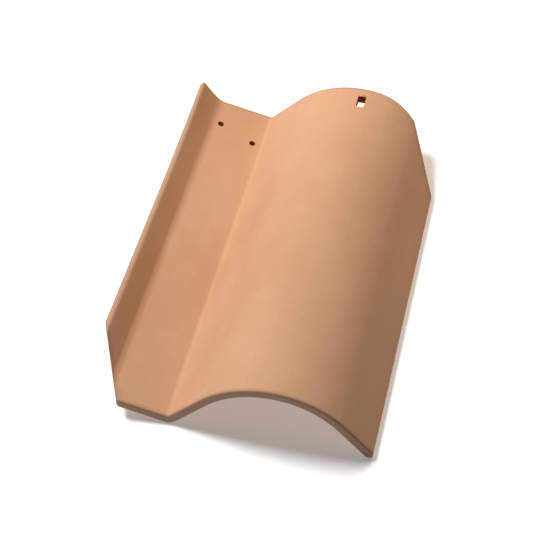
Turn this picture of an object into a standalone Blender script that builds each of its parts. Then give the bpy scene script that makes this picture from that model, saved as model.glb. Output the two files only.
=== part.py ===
# Spanish S roof tile, moulded in one piece of fired clay.
# Metres. +X runs across the tile to the free edge of its barrel, +Y runs up to its head, +Z is up.
# The tile lies on the fold between its pan and its barrel, and on the barrel's free edge.

from math import ceil, cos, radians, sin, tan

import bmesh
import bpy
from mathutils import Matrix, Vector

# The whole tile
TILE_LENGTH = 0.457
WALL = 0.0095
EDGE_ROUND = 0.002

# The pan in section: an upturned lip, a bend, a flat water course and the fold where the barrel rises
LIP_LENGTH = 0.0228
LIP_ANGLE = radians(32.5)
LIP_BEND_RADIUS = 0.0165
PAN_LENGTH = 0.0525
PAN_TILT = radians(13.2)
FOLD_RADIUS = 0.0055

# The barrel in section: a straight rising side, a round crown and a straight falling side
RISING_LENGTH = 0.042
RISING_SLOPE = radians(45.0)
CROWN_RADIUS = 0.0957
FALLING_SLOPE = radians(47.8)
FREE_RIM_HEIGHT = 0.0068

# The two corners cut off so that four tiles can meet: across the tile, and along it
TAIL_CUT_WIDTH = 0.034
TAIL_CUT_LENGTH = 0.081
HEAD_CUT_WIDTH = 0.0385
HEAD_CUT_LENGTH = 0.0905

# The head's edge bends gently back before its cut corner, from this far inside the free rim
HEAD_BEND_WIDTH = 0.074
HEAD_BEND_RADIUS = 0.075
HEAD_BEND_TURN = radians(32.0)

# The round nail holes through the pan, measured along it from the fold, and down from the head
NAIL_DIAMETER = 0.0065
OUTER_NAIL_FROM_FOLD = 0.0487
OUTER_NAIL_FROM_HEAD = 0.0388
INNER_NAIL_FROM_FOLD = 0.0080
INNER_NAIL_FROM_HEAD = 0.0534

# The tie slot through the barrel, a little to the free side of the crown
SLOT_WIDTH = 0.0085
SLOT_LENGTH = 0.018
SLOT_FROM_CROWN = 0.0058
SLOT_FROM_HEAD = 0.015
SLOT_CORNER_RADIUS = 0.0008

# Fineness of the round work
ARC_STEP = radians(6.0)
HEAD_BEND_STEPS = 4
NAIL_SIDES = 28
ROUND_STEPS = 3
SHARP_ANGLE = radians(35.0)

CLAY_COLOUR = (0.67, 0.37, 0.205, 1.0)
CLAY_ROUGHNESS = 0.88


def clear_scene():
    for thing in list(bpy.data.objects):
        bpy.data.objects.remove(thing, do_unlink=True)


def new_collection(name):
    collection = bpy.data.collections.new(name)
    bpy.context.scene.collection.children.link(collection)
    return collection


def move_to(collection, thing):
    for holder in list(thing.users_collection):
        holder.objects.unlink(thing)
    collection.objects.link(thing)


def clay():
    material = bpy.data.materials.new("fired clay")
    material.use_nodes = True
    shader = material.node_tree.nodes["Principled BSDF"]
    shader.inputs["Base Color"].default_value = CLAY_COLOUR
    shader.inputs["Roughness"].default_value = CLAY_ROUGHNESS
    shader.inputs["Metallic"].default_value = 0.0
    return material


def edge_rounding():
    # The rounding of the rims never takes up more than the wall leaves
    return min(EDGE_ROUND, 0.4 * WALL)


def left_of(heading):
    return Vector((-sin(heading), cos(heading)))


def straight(trace, length):
    point, heading = trace[-1]
    trace.append((point + Vector((cos(heading), sin(heading))) * length, heading))


def bend(trace, radius, turn):
    # Adds an arc that turns left for a positive turn and right for a negative one
    point, heading = trace[-1]
    side = 1 if turn > 0 else -1
    centre = point + left_of(heading) * radius * side
    steps = max(2, ceil(abs(turn) / ARC_STEP))
    for step in range(1, steps + 1):
        part = turn * step / steps
        trace.append((centre + Matrix.Rotation(part, 2) @ (point - centre), heading + part))


def section():
    # The wall in section, seen from the tail. The upper surface is traced from the lip to the free edge.
    lip_heading = -PAN_TILT - LIP_ANGLE
    trace = [(Vector((0.0, 0.0)), lip_heading)]
    straight(trace, LIP_LENGTH)
    bend(trace, LIP_BEND_RADIUS, LIP_ANGLE)
    straight(trace, PAN_LENGTH)
    pan_end = trace[-1][0]
    bend(trace, FOLD_RADIUS, PAN_TILT)
    table = trace[-1][0].y - WALL
    bend(trace, FOLD_RADIUS, RISING_SLOPE)
    straight(trace, RISING_LENGTH)
    bend(trace, CROWN_RADIUS, -RISING_SLOPE)
    crown = trace[-1][0]
    bend(trace, CROWN_RADIUS, -FALLING_SLOPE)
    straight(trace, (trace[-1][0].y - table - FREE_RIM_HEIGHT) / sin(FALLING_SLOPE))

    # The free edge is trimmed upright and stands on the table with a flat foot
    upper = [point for point, heading in trace]
    lower = [point - left_of(heading) * WALL for point, heading in trace]
    free_rim = upper[-1].x
    foot_width = WALL / sin(FALLING_SLOPE) - FREE_RIM_HEIGHT / tan(FALLING_SLOPE)
    upper.append(Vector((free_rim, table)))
    lower[-1] = Vector((free_rim - foot_width, table))

    lip_rim = lower[0].x + edge_rounding() * (cos(lip_heading) - sin(lip_heading) - 1)
    middle = Vector(((lip_rim + free_rim) / 2, table))
    places = {
        "lip_rim": lip_rim - middle.x,
        "free_rim": free_rim - middle.x,
        "pan_end": pan_end - middle,
        "crown": crown - middle,
    }
    return [point - middle for point in upper + lower[::-1]], places


def trim(body, point, outward):
    # Takes off what lies outward of an upright plane and closes the cut
    cut = bmesh.ops.bisect_plane(
        body,
        geom=body.verts[:] + body.edges[:] + body.faces[:],
        plane_co=(point.x, point.y, 0.0),
        plane_no=(outward.x, outward.y, 0.0),
        clear_outer=True,
    )["geom_cut"]
    bmesh.ops.edgeloop_fill(body, edges=[e for e in cut if isinstance(e, bmesh.types.BMEdge)])


def cut_corner(body, corner, across, along):
    # Across and along are signed and point into the tile
    trim(body, corner + Vector((across, 0.0)), Vector((-1 / across, -1 / along)).normalized())


def bend_head(body, free_rim, head):
    centre = Vector((free_rim - HEAD_BEND_WIDTH, head - HEAD_BEND_RADIUS))
    for step in range(1, HEAD_BEND_STEPS + 1):
        turn = HEAD_BEND_TURN * step / HEAD_BEND_STEPS
        outward = Vector((sin(turn), cos(turn)))
        trim(body, centre + outward * HEAD_BEND_RADIUS, outward)


def drawn_body(outline, places):
    # The section is drawn out along the tile, two opposite corners are cut off and the head's edge is bent
    body = bmesh.new()
    tail = -TILE_LENGTH / 2
    head = TILE_LENGTH / 2
    end_face = body.faces.new([body.verts.new((p.x, tail, p.y)) for p in outline])
    drawn = bmesh.ops.extrude_face_region(body, geom=[end_face])["geom"]
    moved = [part for part in drawn if isinstance(part, bmesh.types.BMVert)]
    bmesh.ops.translate(body, verts=moved, vec=(0.0, TILE_LENGTH, 0.0))
    cut_corner(body, Vector((places["lip_rim"], tail)), TAIL_CUT_WIDTH, TAIL_CUT_LENGTH)
    cut_corner(body, Vector((places["free_rim"], head)), -HEAD_CUT_WIDTH, -HEAD_CUT_LENGTH)
    bend_head(body, places["free_rim"], head)
    bmesh.ops.recalc_face_normals(body, faces=body.faces)
    mesh = bpy.data.meshes.new("roof_tile")
    body.to_mesh(mesh)
    body.free()
    mesh.shade_smooth()
    return mesh


def nail_cutter(name, pan_end, from_fold, from_head):
    # A pin square to the pan, longer than the wall is thick
    bpy.ops.mesh.primitive_cylinder_add(
        vertices=NAIL_SIDES,
        radius=NAIL_DIAMETER / 2,
        depth=4 * WALL,
        location=(
            pan_end.x - from_fold * cos(PAN_TILT),
            TILE_LENGTH / 2 - from_head,
            pan_end.y + from_fold * sin(PAN_TILT),
        ),
        rotation=(0.0, PAN_TILT, 0.0),
    )
    cutter = bpy.context.object
    cutter.name = name
    return cutter


def slot_cutter(name, crown):
    # An upright rectangular punch with slightly eased corners
    bpy.ops.mesh.primitive_cube_add(
        size=1.0,
        location=(
            crown.x + SLOT_FROM_CROWN,
            TILE_LENGTH / 2 - SLOT_FROM_HEAD - SLOT_LENGTH / 2,
            crown.y - WALL / 2,
        ),
    )
    cutter = bpy.context.object
    cutter.name = name
    cutter.scale = (SLOT_WIDTH, SLOT_LENGTH, 4 * WALL)
    bpy.ops.object.transform_apply(location=False, rotation=False, scale=True)
    upright = bmesh.new()
    upright.from_mesh(cutter.data)
    corners = [e for e in upright.edges if abs(e.verts[0].co.z - e.verts[1].co.z) > WALL]
    bmesh.ops.bevel(
        upright,
        geom=corners,
        offset=SLOT_CORNER_RADIUS,
        offset_type="OFFSET",
        segments=ROUND_STEPS,
        profile=0.5,
        affect="EDGES",
    )
    upright.to_mesh(cutter.data)
    upright.free()
    return cutter


def roof_tile(collection, cutters, material):
    outline, places = section()
    tile = bpy.data.objects.new("roof_tile", drawn_body(outline, places))
    tile.data.materials.append(material)
    collection.objects.link(tile)

    rims = tile.modifiers.new("rounded_rims", "BEVEL")
    rims.width = edge_rounding()
    rims.segments = ROUND_STEPS
    rims.limit_method = "ANGLE"
    rims.angle_limit = SHARP_ANGLE

    pan_end = places["pan_end"]
    for cutter in [
        nail_cutter("outer_nail_hole", pan_end, OUTER_NAIL_FROM_FOLD, OUTER_NAIL_FROM_HEAD),
        nail_cutter("inner_nail_hole", pan_end, INNER_NAIL_FROM_FOLD, INNER_NAIL_FROM_HEAD),
        slot_cutter("tie_slot", places["crown"]),
    ]:
        move_to(cutters, cutter)
        cutter.hide_render = True
        cutter.display_type = "WIRE"
        hole = tile.modifiers.new(cutter.name, "BOOLEAN")
        hole.operation = "DIFFERENCE"
        hole.solver = "EXACT"
        hole.object = cutter
    return tile


def main():
    clear_scene()
    collection = new_collection("Spanish S roof tile")
    cutters = new_collection("Cutters")
    roof_tile(collection, cutters, clay())


main()
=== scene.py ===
# Spanish S roof tile in fired clay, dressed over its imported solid
from math import ceil, cos, radians, sin, tan

import bmesh
import bpy
from mathutils import Matrix, Vector, noise


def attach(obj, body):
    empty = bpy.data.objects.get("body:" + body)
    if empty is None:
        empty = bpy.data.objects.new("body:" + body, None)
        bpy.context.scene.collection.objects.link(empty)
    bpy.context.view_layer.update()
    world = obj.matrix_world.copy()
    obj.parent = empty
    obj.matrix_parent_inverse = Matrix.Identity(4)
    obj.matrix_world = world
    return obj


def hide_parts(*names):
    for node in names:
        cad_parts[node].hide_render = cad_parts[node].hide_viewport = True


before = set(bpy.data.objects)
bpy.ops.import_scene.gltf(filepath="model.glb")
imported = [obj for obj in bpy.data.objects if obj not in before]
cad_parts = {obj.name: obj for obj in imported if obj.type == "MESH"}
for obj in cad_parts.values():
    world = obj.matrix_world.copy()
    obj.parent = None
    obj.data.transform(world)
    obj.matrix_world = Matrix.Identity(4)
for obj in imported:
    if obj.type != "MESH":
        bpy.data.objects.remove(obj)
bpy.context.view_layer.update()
scene = bpy.context.scene
scene.view_settings.view_transform = "Standard"

# The camera stands where the photograph was taken from
view = {
    "place": (0.2515, -1.1578, 1.1828),
    "azimuth": radians(-12.65),
    "elevation": radians(45.05),
    "lens": 106.67,  # 1600 px of the 540 px frame
    "sensor": 36.0,
}


def addCamera():
    data = bpy.data.cameras.new("camera")
    data.lens = view["lens"]
    data.sensor_width = view["sensor"]
    camera = bpy.data.objects.new("camera", data)
    camera.location = view["place"]
    aside, down = view["azimuth"], view["elevation"]
    ahead = Vector((sin(aside) * cos(down), cos(aside) * cos(down), -sin(down)))
    camera.rotation_euler = ahead.to_track_quat("-Z", "Y").to_euler()
    scene.collection.objects.link(camera)
    scene.camera = camera


addCamera()
print("camera placed")

tile = {
    "length": 0.457,
    "wall": 0.0095,
    "lipLength": 0.0228,
    "lipAngle": radians(32.5),
    "lipBendRadius": 0.0165,
    "panLength": 0.0525,
    "panTilt": radians(13.2),
    "foldRadius": 0.0055,
    "risingLength": 0.042,
    "risingSlope": radians(45.0),
    "crownRadius": 0.0957,
    "fallingSlope": radians(47.8),
    "freeRimHeight": 0.0068,
    "tailCut": (0.034, 0.081),  # across, along
    "headCut": (0.0385, 0.0905),
    "headBend": (0.074, 0.075),  # how far inside the free rim it starts, radius
    "headBendRun": 0.05,  # how much of the clay behind it closes up
    "lipRound": 0.003,  # the lip's inner edge is wiped rounder than the rest
    "lipRoundSteps": 5,
    "lipLift": 0.005,  # the lip warped upwards over its last stretch to the head
    "lipGrow": 0.001,  # and stretched along its inner face
    "lipLiftRun": 0.17,
    "rimRadius": 0.002,
    "rimSteps": 4,
    "sharpAngle": radians(35),
    "rowSpacing": 0.005,
    "waver": 0.00022,  # how far the hand-finished faces wander inwards
    "waverSize": 0.045,
    "waverStretch": 0.5,
    "ripple": 0.00007,
    "rippleSize": 0.012,
    "rippleStretch": 0.35,
    "rippleShift": Vector((7.0, 3.0, 1.0)),
    "sameSpot": 0.0001,  # points nearer than this count as one
}

# Into how many faces each stretch of the section is divided
faces = {
    "lip": 5,
    "lipBend": 8,
    "pan": 10,
    "foldDown": 3,
    "foldUp": 8,
    "rising": 8,
    "crownUp": 20,
    "crownDown": 21,
    "falling": 8,
}

places = {}  # points of the section that the rest is measured from


def runStraight(bm, end, heading, length, parts):
    # Draws the section on from its end vertex, in a straight line
    step = Vector((cos(heading), 0.0, sin(heading))) * (length / parts)
    for _ in range(parts):
        end = bmesh.ops.extrude_vert_indiv(bm, verts=[end])["verts"][0]
        bmesh.ops.translate(bm, verts=[end], vec=step)
    return end


def runArc(bm, end, heading, radius, turn, parts):
    # Draws the section on from its end vertex, round an arc; a positive turn goes up
    side = 1 if turn > 0 else -1
    centre = end.co + Vector((-sin(heading), 0.0, cos(heading))) * radius * side
    spun = bmesh.ops.spin(
        bm, geom=[end], cent=centre, axis=(0.0, -1.0, 0.0), angle=turn, steps=parts,
        dvec=(0.0, 0.0, 0.0), use_duplicate=False, use_merge=False,
    )
    return spun["geom_last"][0]


def drawSection(bm):
    # The upper surface in section, from the lip to a point under the free edge
    t = tile
    lean, rise, fall = -t["panTilt"], t["risingSlope"], t["fallingSlope"]
    lipHeading = lean - t["lipAngle"]
    start = bm.verts.new((0.0, 0.0, 0.0))
    end = runStraight(bm, start, lipHeading, t["lipLength"], faces["lip"])
    end = runArc(bm, end, lipHeading, t["lipBendRadius"], t["lipAngle"], faces["lipBend"])
    end = runStraight(bm, end, lean, t["panLength"], faces["pan"])
    panEnd = end.co.copy()
    end = runArc(bm, end, lean, t["foldRadius"], t["panTilt"], faces["foldDown"])
    table = end.co.z - t["wall"]
    end = runArc(bm, end, 0.0, t["foldRadius"], rise, faces["foldUp"])
    end = runStraight(bm, end, rise, t["risingLength"], faces["rising"])
    end = runArc(bm, end, rise, t["crownRadius"], -rise, faces["crownUp"])
    crown = end.co.copy()
    end = runArc(bm, end, 0.0, t["crownRadius"], -fall, faces["crownDown"])
    drop = end.co.z - table
    freeRim = end.co.x + (drop - t["freeRimHeight"]) / tan(fall)
    runStraight(bm, end, -fall, drop / sin(fall) + t["wall"], faces["falling"])

    # The tile's own frame: x from the middle of its outline, z from the table
    rounded = t["rimRadius"] * (cos(lipHeading) - sin(lipHeading) - 1)
    lipRim = start.co.x - t["wall"] * sin(-lipHeading) + rounded
    middle = Vector(((lipRim + freeRim) / 2, 0.0, table))
    bmesh.ops.translate(bm, verts=bm.verts, vec=-middle)
    places["panEnd"] = panEnd - middle
    places["crown"] = crown - middle
    places["lipTop"] = start.co.copy()
    places["lipRim"] = lipRim - middle.x
    places["freeRim"] = freeRim - middle.x


def addTile():
    t = tile
    bm = bmesh.new()
    drawSection(bm)
    bmesh.ops.translate(bm, verts=bm.verts, vec=(0.0, t["length"] / 2, 0.0))
    drawn = bmesh.ops.extrude_edge_only(bm, edges=bm.edges[:])["geom"]
    tail = [g for g in drawn if isinstance(g, bmesh.types.BMVert)]
    bmesh.ops.translate(bm, verts=tail, vec=(0.0, -t["length"], 0.0))
    mesh = bpy.data.meshes.new("roofTile")
    bm.to_mesh(mesh)
    bm.free()
    piece = bpy.data.objects.new("roofTile", mesh)
    scene.collection.objects.link(piece)
    wall = piece.modifiers.new("wall", "SOLIDIFY")
    wall.thickness = t["wall"]
    wall.offset = -1.0
    wall.use_even_offset = True
    applyModifiers(piece)
    return piece


def applyModifiers(piece):
    seen = piece.evaluated_get(bpy.context.evaluated_depsgraph_get())
    made = bpy.data.meshes.new_from_object(seen)
    old = piece.data
    piece.modifiers.clear()
    piece.data = made
    bpy.data.meshes.remove(old)
    made.name = piece.name


def roundLip(bm):
    # Along the whole tile, before the ends are trimmed
    t = tile
    inner = []
    for e in bm.edges:
        offsets = [Vector((v.co.x, 0.0, v.co.z)) - places["lipTop"] for v in e.verts]
        if all(offset.length < t["sameSpot"] for offset in offsets):
            inner.append(e)
    bmesh.ops.bevel(
        bm, geom=inner, offset=t["lipRound"], offset_type="OFFSET", affect="EDGES",
        segments=t["lipRoundSteps"], profile=0.5, material=-1,
    )


def trim(bm, point, outward):
    # Cuts the clay off flat beyond a plane and closes the cut face
    cut = bmesh.ops.bisect_plane(
        bm, geom=bm.verts[:] + bm.edges[:] + bm.faces[:],
        plane_co=point, plane_no=outward, clear_outer=True,
    )["geom_cut"]
    bmesh.ops.edgeloop_fill(bm, edges=[e for e in cut if isinstance(e, bmesh.types.BMEdge)])


def cornerCuts():
    # A point on each of the two corner cuts and the direction out of the clay
    half = tile["length"] / 2
    across, along = tile["tailCut"]
    tail = Vector((places["lipRim"] + across, -half, 0.0)), Vector((-along, -across, 0.0))
    across, along = tile["headCut"]
    head = Vector((places["freeRim"] - across, half, 0.0)), Vector((along, across, 0.0))
    return [(point, outward.normalized()) for point, outward in (tail, head)]


def sharpEdges(bm):
    paired = [e for e in bm.edges if len(e.link_faces) == 2]
    return [e for e in paired if e.calc_face_angle() > tile["sharpAngle"]]


def clearCorners(bm):
    # A lengthwise edge that ends too close to a corner leaves no room to round it
    sharp = set(sharpEdges(bm))
    crowded = set()
    for corner in bm.verts:
        rims = [e for e in corner.link_edges if e in sharp]
        if len(rims) < 3:
            continue
        for rim in rims:
            if rim.calc_length() < 2 * tile["rimRadius"]:
                ends = rim.other_vert(corner).link_edges
                crowded.update(e for e in ends if e not in sharp)
    bmesh.ops.dissolve_edges(bm, edges=[e for e in bm.edges if e in crowded], use_verts=True)


def trimRims(piece):
    # The free edge is trimmed upright and flat, and two opposite corners are cut off
    t = tile
    bm = bmesh.new()
    bm.from_mesh(piece.data)
    roundLip(bm)
    trim(bm, (0.0, 0.0, 0.0), (0.0, 0.0, -1.0))
    trim(bm, (places["freeRim"], 0.0, 0.0), (1.0, 0.0, 0.0))
    for point, outward in cornerCuts():
        trim(bm, point, outward)
    bmesh.ops.recalc_face_normals(bm, faces=bm.faces)

    clearCorners(bm)
    bmesh.ops.bevel(
        bm, geom=sharpEdges(bm), offset=t["rimRadius"], offset_type="OFFSET", affect="EDGES",
        segments=t["rimSteps"], profile=0.5, material=-1, clamp_overlap=True,
    )
    rows = ceil(t["length"] / t["rowSpacing"])
    for row in range(1, rows):
        across = (0.0, -t["length"] / 2 + t["length"] * row / rows, 0.0)
        bmesh.ops.bisect_plane(
            bm, geom=bm.verts[:] + bm.edges[:] + bm.faces[:],
            plane_co=across, plane_no=(0.0, 1.0, 0.0),
        )
    bm.to_mesh(piece.data)
    bm.free()


def waverFaces(piece):
    # Hand-finished clay is never quite flat; every point moves inwards only
    t = tile
    bm = bmesh.new()
    bm.from_mesh(piece.data)
    bm.normal_update()
    for v in bm.verts:
        x, y, z = v.co
        broad = noise.noise(Vector((x, y * t["waverStretch"], z)) / t["waverSize"])
        ripple = Vector((x, y * t["rippleStretch"], z)) / t["rippleSize"]
        fine = noise.noise(ripple + t["rippleShift"])
        v.co -= v.normal * (t["waver"] * (0.5 + 0.5 * broad) + t["ripple"] * (0.5 + 0.5 * fine))
    bm.to_mesh(piece.data)
    bm.free()


def bendHead(piece):
    # The head's edge bends gently back towards its cut corner; the clay behind it closes up
    t = tile
    half = t["length"] / 2
    width, radius = t["headBend"]
    across, along = t["headCut"]
    start = half - t["headBendRun"]
    for v in piece.data.vertices:
        aside = v.co.x - (places["freeRim"] - width)
        if aside <= 0 or v.co.y <= start:
            continue
        edge = min(half, half - along / across * (v.co.x - (places["freeRim"] - across)))
        bent = min(edge, half - radius + (max(0.0, radius**2 - aside**2)) ** 0.5)
        if edge > start and bent > start:
            v.co.y = start + (v.co.y - start) * (bent - start) / (edge - start)


def lipDown():
    # The direction down the lip's inner face, in section
    heading = -tile["panTilt"] - tile["lipAngle"]
    return Vector((cos(heading), 0.0, sin(heading)))


def liftLip(piece):
    # The lip's last stretch rises and grows towards the head, its inner face the most
    t = tile
    down = lipDown()
    square = Vector((-down.z, 0.0, down.x))
    for v in piece.data.vertices:
        offset = Vector((v.co.x, 0.0, v.co.z)) - places["lipTop"]
        reach = min(1.0, 1 - offset.dot(down) / t["lipLength"])
        run = 1 - (t["length"] / 2 - v.co.y) / t["lipLiftRun"]
        if reach > 0 and run > 0:
            share = (reach * run) ** 2
            inner = min(1.0, max(0.0, 1 + offset.dot(square) / t["wall"]))
            v.co.z += t["lipLift"] * share
            v.co -= down * (t["lipGrow"] * share * inner)


holes = {
    "nailRadius": 0.00325,
    "nailFlare": 0.0009,
    "nails": ((0.0487, 0.0388), (0.0080, 0.0534)),  # from the fold, from the head
    "nailSides": 40,
    "slotSize": (0.0085, 0.018),
    "slotFromCrown": 0.0058,
    "slotFromHead": 0.015,
    "slotCorners": (0.0026, 0.0009),  # towards the tail, towards the head
    "slotCornerSteps": 4,
    "slotFlare": 0.0004,
    "slotMouth": 0.0016,  # how far the punch flares out, beyond the clay too
    "upright": 0.9,  # a face whose normal is this far up or down is a cap
}


def nailPlace(fromFold, fromHead):
    # The middle of a nail hole, halfway through the wall
    lean = tile["panTilt"]
    place = places["panEnd"] + Vector((-cos(lean), 0.0, sin(lean))) * fromFold
    place -= Vector((sin(lean), 0.0, cos(lean))) * (tile["wall"] / 2)
    place.y = tile["length"] / 2 - fromHead
    return place


def slotPlace():
    place = places["crown"] + Vector((holes["slotFromCrown"], 0.0, -tile["wall"] / 2))
    place.y = tile["length"] / 2 - holes["slotFromHead"] - holes["slotSize"][1] / 2
    return place


def cutterObject(bm, name):
    bmesh.ops.recalc_face_normals(bm, faces=bm.faces)
    mesh = bpy.data.meshes.new(name)
    bm.to_mesh(mesh)
    bm.free()
    cutter = bpy.data.objects.new(name, mesh)
    scene.collection.objects.link(cutter)
    return cutter


def nailPunch(name, fromFold, fromHead):
    # A turned pin, square to the pan, that flares where it leaves the clay on each side
    reach, radius, flare = tile["wall"] / 2, holes["nailRadius"], holes["nailFlare"]
    wide = radius + flare * 2
    outline = (  # from the middle, and up
        (wide, -reach - flare),
        (radius, -reach + flare),
        (radius, reach - flare),
        (wide, reach + flare),
    )
    bm = bmesh.new()
    points = [bm.verts.new((x, 0.0, z)) for x, z in outline]
    for pair in zip(points, points[1:]):
        bm.edges.new(pair)
    bmesh.ops.spin(
        bm, geom=bm.verts[:] + bm.edges[:], cent=(0.0, 0.0, 0.0), axis=(0.0, 0.0, 1.0),
        angle=radians(360), steps=holes["nailSides"], dvec=(0.0, 0.0, 0.0),
        use_duplicate=False, use_merge=True,
    )
    bmesh.ops.holes_fill(bm, edges=[e for e in bm.edges if e.is_boundary], sides=0)
    turn = Matrix.Rotation(tile["panTilt"], 4, "Y")
    stand = Matrix.Translation(nailPlace(fromFold, fromHead))
    bmesh.ops.transform(bm, matrix=stand @ turn, verts=bm.verts)
    return cutterObject(bm, name)


def slotPunch():
    # An upright rectangular punch with rounder corners towards the tail and a slight flare
    h = holes
    wide, long = h["slotSize"]
    tall = tile["wall"] - 2 * h["slotFlare"]
    bm = bmesh.new()
    bmesh.ops.create_cube(bm, size=1.0)
    bmesh.ops.scale(bm, verts=bm.verts, vec=(wide, long, tall))
    for side, corner in zip((-1, 1), h["slotCorners"]):
        rising = [e for e in bm.edges if abs(e.verts[0].co.z - e.verts[1].co.z) > tall / 2]
        bmesh.ops.bevel(
            bm, geom=[e for e in rising if e.verts[0].co.y * side > 0], offset=corner,
            offset_type="OFFSET", affect="EDGES", segments=h["slotCornerSteps"], profile=0.5,
            material=-1,
        )
    for side in (-1, 1):
        cap = [f for f in bm.faces if f.normal.z * side > h["upright"]]
        grown = bmesh.ops.extrude_face_region(bm, geom=cap)["geom"]
        bmesh.ops.delete(bm, geom=cap, context="FACES_ONLY")
        rim = [g for g in grown if isinstance(g, bmesh.types.BMVert)]
        mouth = h["slotMouth"]
        bmesh.ops.scale(bm, verts=rim, vec=(1 + 2 * mouth / wide, 1 + 2 * mouth / long, 1.0))
        bmesh.ops.translate(bm, verts=rim, vec=(0.0, 0.0, side * mouth))
    bmesh.ops.translate(bm, verts=bm.verts, vec=slotPlace())
    return cutterObject(bm, "slotPunch")


def punchHoles(piece):
    punches = [nailPunch("nailPunch" + str(i), *n) for i, n in enumerate(holes["nails"])]
    punches.append(slotPunch())
    for punch in punches:
        cut = piece.modifiers.new(punch.name, "BOOLEAN")
        cut.operation = "DIFFERENCE"
        cut.solver = "EXACT"
        cut.object = punch
    applyModifiers(piece)
    for punch in punches:
        bpy.data.objects.remove(punch, do_unlink=True)


clay = {
    "light": (0.563, 0.324, 0.189, 1.0),
    "deep": (0.513, 0.279, 0.152, 1.0),
    "bloom": (0.59, 0.361, 0.224, 1.0),
    "cut": (0.29, 0.18, 0.125, 1.0),  # the wire-cut ends are rougher and duller clay, and partly painted shade
    # painted shade for the walls of the holes, where little light reaches
    "holeShade": (0.24, 0.075, 0.02, 1.0),
    "speck": (0.31, 0.15, 0.08, 1.0),
    "cutFade": (0.0004, 0.0042),  # how deep behind the ends the dull clay and painted shade reach
    "lipShare": 0.65,  # the wiped end of the lip gets less dull clay and painted shade than the cut ends
    "specular": 0.3,
    "clouds": {  # stretch along the tile, scale, detail, roughness
        "body": (0.6, 11.0, 4.0, 0.5),
        "patches": (0.7, 48.0, 5.0, 0.6),
        "drawLines": (0.03, 230.0, 3.0, 0.5),
        "grain": (1.0, 1500.0, 3.0, 0.65),
    },
    "grogScale": 330.0,
    "coats": (  # laid on in turn: the pattern, its range, the share at each end, the colour
        ("body", (0.35, 0.65), (0.0, 1.0), "light"),
        ("patches", (0.5, 0.75), (0.0, 0.4), "bloom"),
        ("drawLines", (0.4, 0.7), (0.0, 0.16), "deep"),
        ("grain", (0.55, 0.75), (0.0, 0.2), "deep"),
        ("grog", (0.06, 0.16), (0.35, 0.0), "speck"),
        # duller cut clay and painted shade on the ends, corner cuts and lip end
        ("cutEndsAndShade", (0.0, 1.0), (0.0, 0.8), "cut"),
        # painted shade down the walls of the holes
        ("paintedHoleShade", (0.2, 1.0), (0.0, 0.9), "holeShade"),
    ),
    "roughness": ((0.3, 0.7), (0.8, 0.95)),  # over this range of the patches
    "relief": (("patches", 0.6), ("drawLines", 0.5)),  # bump beside the grain's own
    "bumpStrength": 0.35,
    "bumpDepth": 0.0004,
}


def markRims(piece):
    # Duller cut clay and painted shade: 1 on the cut ends and corners, less on the wiped end of
    # the lip, 0 behind the rounded rims
    half = tile["length"] / 2
    planes = [(places["lipTop"], -lipDown(), clay["lipShare"])]
    for y in (-1.0, 1.0):
        planes.append((Vector((0.0, y * half, 0.0)), Vector((0.0, y, 0.0)), 1.0))
    for point, outward in cornerCuts():
        planes.append((point, outward, 1.0))
    near, far = clay["cutFade"]
    cutEndsAndShade = piece.data.attributes.new("cutEndsAndShade", "FLOAT", "POINT")
    for v in piece.data.vertices:
        cutEndsAndShade.data[v.index].value = max(
            share * min(1.0, max(0.0, (far - (point - v.co).dot(outward)) / (far - near)))
            for point, outward, share in planes
        )


def markHoles(piece):
    # Painted shade: 1 down the walls of the three holes, 0 from their rims outwards
    wallShade = piece.data.attributes.new("paintedHoleShade", "FLOAT", "POINT")
    turn = Matrix.Rotation(-tile["panTilt"], 3, "Y")
    middles = [nailPlace(*nail) for nail in holes["nails"]]
    slot = slotPlace()
    nail = holes["nailRadius"] + tile["sameSpot"]
    wide, long = (size / 2 + tile["sameSpot"] for size in holes["slotSize"])
    for v in piece.data.vertices:
        inNail = any((turn @ (v.co - middle)).xy.length < nail for middle in middles)
        aside = v.co - slot
        inSlot = abs(aside.x) < wide and abs(aside.y) < long
        wallShade.data[v.index].value = 1.0 if inNail or inSlot else 0.0


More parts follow.
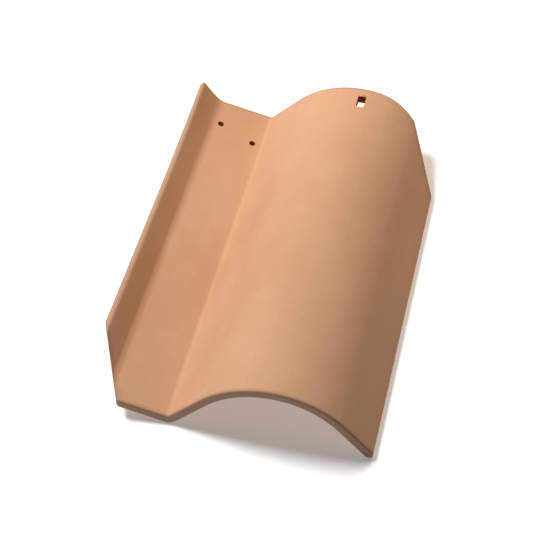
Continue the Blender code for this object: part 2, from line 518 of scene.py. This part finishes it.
def firedClay():
    material = bpy.data.materials.new("firedClay")
    material.use_nodes = True
    nodes = material.node_tree.nodes
    links = material.node_tree.links
    shader = nodes["Principled BSDF"]
    shader.inputs["Specular IOR Level"].default_value = clay["specular"]
    where = nodes.new("ShaderNodeTexCoord").outputs["Object"]

    def cloud(stretch, scale, detail, rough):
        mapping = nodes.new("ShaderNodeMapping")
        mapping.inputs["Scale"].default_value = (1.0, stretch, 1.0)
        links.new(where, mapping.inputs["Vector"])
        texture = nodes.new("ShaderNodeTexNoise")
        texture.inputs["Scale"].default_value = scale
        texture.inputs["Detail"].default_value = detail
        texture.inputs["Roughness"].default_value = rough
        links.new(mapping.outputs["Vector"], texture.inputs["Vector"])
        return texture.outputs["Fac"]

    def specks(scale):
        texture = nodes.new("ShaderNodeTexVoronoi")
        texture.inputs["Scale"].default_value = scale
        links.new(where, texture.inputs["Vector"])
        return texture.outputs["Distance"]

    def marked(name):
        attribute = nodes.new("ShaderNodeAttribute")
        attribute.attribute_name = name
        return attribute.outputs["Fac"]

    def ranged(value, given, wanted):
        span = nodes.new("ShaderNodeMapRange")
        for name, number in zip(("From Min", "From Max", "To Min", "To Max"), given + wanted):
            span.inputs[name].default_value = number
        links.new(value, span.inputs["Value"])
        return span.outputs["Result"]

    def coated(factor, under, over):
        mix = nodes.new("ShaderNodeMix")
        mix.data_type = "RGBA"
        share, first, second = (mix.inputs[i] for i in (0, 6, 7))
        links.new(factor, share)
        if isinstance(under, bpy.types.NodeSocket):
            links.new(under, first)
        else:
            first.default_value = under
        second.default_value = over
        return mix.outputs[2]

    def added(first, second, share):
        maths = nodes.new("ShaderNodeMath")
        maths.operation = "MULTIPLY_ADD"
        maths.inputs[1].default_value = share
        links.new(second, maths.inputs[0])
        links.new(first, maths.inputs[2])
        return maths.outputs[0]

    patterns = {name: cloud(*settings) for name, settings in clay["clouds"].items()}
    patterns["grog"] = specks(clay["grogScale"])
    # the marks for the duller, painted-shade ends and the painted shade in the holes
    for name in ("cutEndsAndShade", "paintedHoleShade"):
        patterns[name] = marked(name)

    colour = clay["deep"]
    for name, given, wanted, tone in clay["coats"]:
        colour = coated(ranged(patterns[name], given, wanted), colour, clay[tone])
    links.new(colour, shader.inputs["Base Color"])
    links.new(ranged(patterns["patches"], *clay["roughness"]), shader.inputs["Roughness"])

    height = patterns["grain"]
    for name, share in clay["relief"]:
        height = added(height, patterns[name], share)
    bump = nodes.new("ShaderNodeBump")
    bump.inputs["Strength"].default_value = clay["bumpStrength"]
    bump.inputs["Distance"].default_value = clay["bumpDepth"]
    links.new(height, bump.inputs["Height"])
    links.new(bump.outputs["Normal"], shader.inputs["Normal"])
    return material


roofTile = addTile()
print("tile drawn")
trimRims(roofTile)
print("rims trimmed and rounded")
waverFaces(roofTile)
punchHoles(roofTile)
print("holes punched:", len(roofTile.data.polygons), "faces")
markRims(roofTile)
markHoles(roofTile)
bendHead(roofTile)
liftLip(roofTile)
roofTile.data.shade_smooth()
evenNormals = roofTile.modifiers.new("evenNormals", "WEIGHTED_NORMAL")
evenNormals.keep_sharp = True
print("head and lip bent")
roofTile.data.materials.clear()
roofTile.data.materials.append(firedClay())
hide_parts("roof_tile")
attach(roofTile, "root")
print("clay fired")

studio = {
    "floorSize": 12.0,
    "floorDrop": 0.0002,  # just under the tile's foot
    "floorColour": (0.9, 0.9, 0.9, 1.0),
    "floorRoughness": 0.9,
    "floorGlow": 0.3,  # a light table, so that shadows stay faint
    "sky": (1.0, 0.91, 0.8, 1.0),
    "skyStrength": 0.01,
    "lights": {  # place, size, power, colour
        "key": (Vector((-2.3, 0.7, 3.3)), 1.5, 203.0, (1.0, 1.0, 1.0)),  # from behind the lip
        "fill": (Vector((0.3, 1.3, 0.9)), 0.5, 12.5, (1.0, 0.76, 0.58)),  # from beyond the head
    },
}


def addFloor():
    bm = bmesh.new()
    bmesh.ops.create_grid(bm, x_segments=1, y_segments=1, size=studio["floorSize"] / 2)
    mesh = bpy.data.meshes.new("floor")
    bm.to_mesh(mesh)
    bm.free()
    floor = bpy.data.objects.new("floor", mesh)
    floor.location.z = -studio["floorDrop"]
    paint = bpy.data.materials.new("paleFloor")
    paint.use_nodes = True
    shader = paint.node_tree.nodes["Principled BSDF"]
    shader.inputs["Base Color"].default_value = studio["floorColour"]
    shader.inputs["Roughness"].default_value = studio["floorRoughness"]
    shader.inputs["Emission Color"].default_value = studio["floorColour"]
    shader.inputs["Emission Strength"].default_value = studio["floorGlow"]
    mesh.materials.append(paint)
    scene.collection.objects.link(floor)


def addLights():
    world = bpy.data.worlds.new("studio")
    world.use_nodes = True
    background = world.node_tree.nodes["Background"]
    background.inputs["Color"].default_value = studio["sky"]
    background.inputs["Strength"].default_value = studio["skyStrength"]
    scene.world = world
    for name, (place, size, power, colour) in studio["lights"].items():
        data = bpy.data.lights.new(name, "AREA")
        data.shape = "DISK"
        data.size = size
        data.energy = power
        data.color = colour
        lamp = bpy.data.objects.new(name, data)
        lamp.location = place
        lamp.rotation_euler = (-place).to_track_quat("-Z", "Y").to_euler()
        lamp.visible_camera = False
        scene.collection.objects.link(lamp)


addFloor()
addLights()
print("studio lit")
